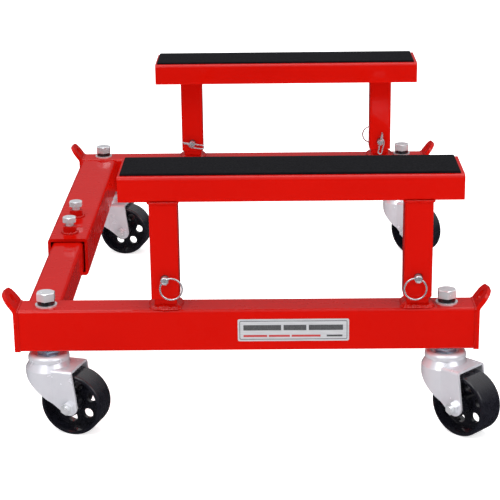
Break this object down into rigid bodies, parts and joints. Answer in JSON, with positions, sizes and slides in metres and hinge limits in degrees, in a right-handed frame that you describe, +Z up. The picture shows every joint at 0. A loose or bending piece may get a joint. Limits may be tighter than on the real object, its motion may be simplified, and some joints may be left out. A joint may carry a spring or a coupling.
{
  "type": "engine stand",
  "caption": "Low rolling engine stand: twin long beams on swivel casters, a telescoping cross member at one end and padded raised supports.",
  "frame": {"origin": "on the floor, under the middle of the overall box", "axes": "+X along the two long beams, from the cross member towards the open end; +Y across, from the near beam (with the label) to the far beam; +Z up"},
  "size_m": [0.5698, 0.7637, 0.31],
  "materials": {
    "red_enamel": "gloss",
    "zinc_plate": "satin",
    "bright_zinc": "gloss",
    "black_oxide": "gloss",
    "rubber_pad": "matte",
    "wheel_black": "gloss",
    "bush_bronze": "satin",
    "bearing_steel": "gloss",
    "label_foil": "satin"
  },
  "bodies": {
    "far_frame": {"far_beam": "red_enamel", "far_end_plate_left": "red_enamel", "far_end_plate_right": "red_enamel", "cross_sleeve": "red_enamel", "sleeve_nuts": "red_enamel", "far_stub_posts": "red_enamel", "far_support_posts": "red_enamel", "far_rail": "red_enamel", "far_pad": "rubber_pad", "far_caster_bolts": "zinc_plate", "far_lock_washers": "black_oxide", "far_flat_washers": "zinc_plate", "far_stem_nuts": "zinc_plate", "far_swivel_cups": "zinc_plate", "far_bearing_balls": "bearing_steel"},
    "near_frame": {"near_beam": "red_enamel", "near_end_plate_left": "red_enamel", "near_end_plate_right": "red_enamel", "cross_inner_tube": "red_enamel", "near_stub_posts": "red_enamel", "near_support_posts": "red_enamel", "near_rail": "red_enamel", "near_pad": "rubber_pad", "load_label": "label_foil", "near_caster_bolts": "zinc_plate", "near_lock_washers": "black_oxide", "near_flat_washers": "zinc_plate", "near_stem_nuts": "zinc_plate", "near_swivel_cups": "zinc_plate", "near_bearing_balls": "bearing_steel"},
    "clamp_front": {"clamp_screw_front": "zinc_plate"},
    "clamp_rear": {"clamp_screw_rear": "zinc_plate"},
    "caster_near_left": {"fork_near_left": "zinc_plate", "axle_near_left": "zinc_plate"},
    "wheel_near_left": {"wheel_near_left": "wheel_black", "bush_near_left": "bush_bronze"},
    "pin_near_left": {"pin_near_left": "bright_zinc", "clip_near_left": "bright_zinc"},
    "ring_near_left": {"ring_near_left": "bright_zinc"},
    "caster_near_right": {"fork_near_right": "zinc_plate", "axle_near_right": "zinc_plate"},
    "wheel_near_right": {"wheel_near_right": "wheel_black", "bush_near_right": "bush_bronze"},
    "pin_near_right": {"pin_near_right": "bright_zinc", "clip_near_right": "bright_zinc"},
    "ring_near_right": {"ring_near_right": "bright_zinc"},
    "caster_far_left": {"fork_far_left": "zinc_plate", "axle_far_left": "zinc_plate"},
    "wheel_far_left": {"wheel_far_left": "wheel_black", "bush_far_left": "bush_bronze"},
    "pin_far_left": {"pin_far_left": "bright_zinc", "clip_far_left": "bright_zinc"},
    "ring_far_left": {"ring_far_left": "bright_zinc"},
    "caster_far_right": {"fork_far_right": "zinc_plate", "axle_far_right": "zinc_plate"},
    "wheel_far_right": {"wheel_far_right": "wheel_black", "bush_far_right": "bush_bronze"},
    "pin_far_right": {"pin_far_right": "bright_zinc", "clip_far_right": "bright_zinc"},
    "ring_far_right": {"ring_far_right": "bright_zinc"}
  },
  "joints": [
    {"name": "width_slide", "type": "slide", "parent": "far_frame", "child": "near_frame", "axis": [0, 1, 0], "range_m": [-0.1, 0.16]},
    {"name": "clamp_front_turn", "type": "hinge", "parent": "far_frame", "child": "clamp_front", "pos_m": [-0.24146, -0.03794, 0.151], "axis": [0, 0, 1], "range_deg": [0, 720]},
    {"name": "clamp_rear_turn", "type": "hinge", "parent": "far_frame", "child": "clamp_rear", "pos_m": [-0.24146, 0.03606, 0.151], "axis": [0, 0, 1], "range_deg": [0, 720]},
    {"name": "swivel_near_left", "type": "hinge", "parent": "near_frame", "child": "caster_near_left", "pos_m": [-0.23546, -0.32094, 0.101], "axis": [0, 0, 1], "continuous": true},
    {"name": "roll_near_left", "type": "hinge", "parent": "caster_near_left", "child": "wheel_near_left", "pos_m": [-0.20486, -0.33029, 0.037], "axis": [0.2924, 0.9563, 0], "continuous": true},
    {"name": "swivel_near_right", "type": "hinge", "parent": "near_frame", "child": "caster_near_right", "pos_m": [0.22454, -0.32094, 0.101], "axis": [0, 0, 1], "continuous": true},
    {"name": "roll_near_right", "type": "hinge", "parent": "caster_near_right", "child": "wheel_near_right", "pos_m": [0.24756, -0.34317, 0.037], "axis": [0.6947, 0.7193, 0], "continuous": true},
    {"name": "swivel_far_left", "type": "hinge", "parent": "far_frame", "child": "caster_far_left", "pos_m": [-0.23546, 0.35606, 0.101], "axis": [0, 0, 1], "continuous": true},
    {"name": "roll_far_left", "type": "hinge", "parent": "caster_far_left", "child": "wheel_far_left", "pos_m": [-0.20416, 0.34941, 0.037], "axis": [0.2079, 0.9781, 0], "continuous": true},
    {"name": "swivel_far_right", "type": "hinge", "parent": "far_frame", "child": "caster_far_right", "pos_m": [0.22454, 0.35606, 0.101], "axis": [0, 0, 1], "continuous": true},
    {"name": "roll_far_right", "type": "hinge", "parent": "caster_far_right", "child": "wheel_far_right", "pos_m": [0.24677, 0.33304, 0.037], "axis": [0.7193, 0.6947, 0], "continuous": true},
    {"name": "pin_turn_near_left", "type": "hinge", "parent": "near_frame", "child": "pin_near_left", "pos_m": [-0.09696, -0.32094, 0.1866], "axis": [0, 1, 0], "continuous": true},
    {"name": "ring_swing_near_left", "type": "hinge", "parent": "pin_near_left", "child": "ring_near_left", "pos_m": [-0.09696, -0.34214, 0.1866], "axis": [-0.8039, 0, -0.5948], "range_deg": [0, 180]},
    {"name": "pin_turn_near_right", "type": "hinge", "parent": "near_frame", "child": "pin_near_right", "pos_m": [0.19004, -0.32094, 0.1866], "axis": [0, 1, 0], "continuous": true},
    {"name": "ring_swing_near_right", "type": "hinge", "parent": "pin_near_right", "child": "ring_near_right", "pos_m": [0.19004, -0.34214, 0.1866], "axis": [-0.9613, 0, 0.2756], "range_deg": [0, 180]},
    {"name": "pin_turn_far_left", "type": "hinge", "parent": "far_frame", "child": "pin_far_left", "pos_m": [-0.09696, 0.35606, 0.1751], "axis": [0, 1, 0], "continuous": true},
    {"name": "ring_swing_far_left", "type": "hinge", "parent": "pin_far_left", "child": "ring_far_left", "pos_m": [-0.09696, 0.37726, 0.1751], "axis": [0.9877, 0, -0.1564], "range_deg": [0, 180]},
    {"name": "pin_turn_far_right", "type": "hinge", "parent": "far_frame", "child": "pin_far_right", "pos_m": [0.19004, 0.35606, 0.1751], "axis": [0, 1, 0], "continuous": true},
    {"name": "ring_swing_far_right", "type": "hinge", "parent": "pin_far_right", "child": "ring_far_right", "pos_m": [0.19004, 0.37726, 0.1751], "axis": [-0.1908, 0, -0.9816], "range_deg": [0, 180]}
  ]
}
